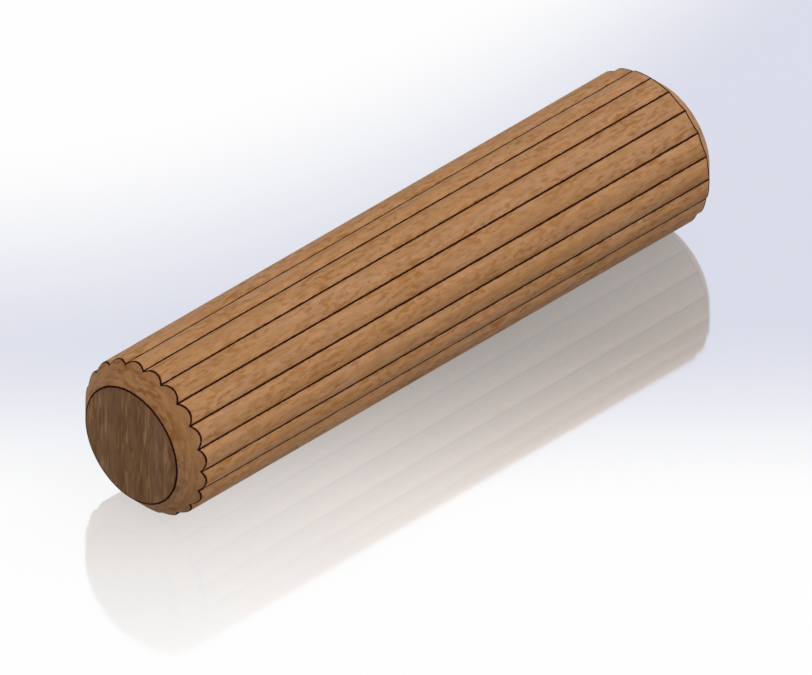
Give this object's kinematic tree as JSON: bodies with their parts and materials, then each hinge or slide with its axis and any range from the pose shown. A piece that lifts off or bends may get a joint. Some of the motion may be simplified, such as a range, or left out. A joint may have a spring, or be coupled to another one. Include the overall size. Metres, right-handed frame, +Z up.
{
  "type": "dowel pin",
  "caption": "Straight reeded wooden dowel pin with chamfered ends, pressed or glued into drilled holes to line up and join two boards.",
  "frame": {"origin": "on the axis of the pin, midway between its end faces", "axes": "+X along the axis of the pin, +Z up with the pin lying on the two reeds beside its lowest valley"},
  "size_m": [0.035, 0.008, 0.008],
  "materials": {
    "beech_wood": "bare, planed and compressed, satin"
  },
  "bodies": {
    "root": {"dowel_pin": "beech_wood"}
  },
  "joints": []
}
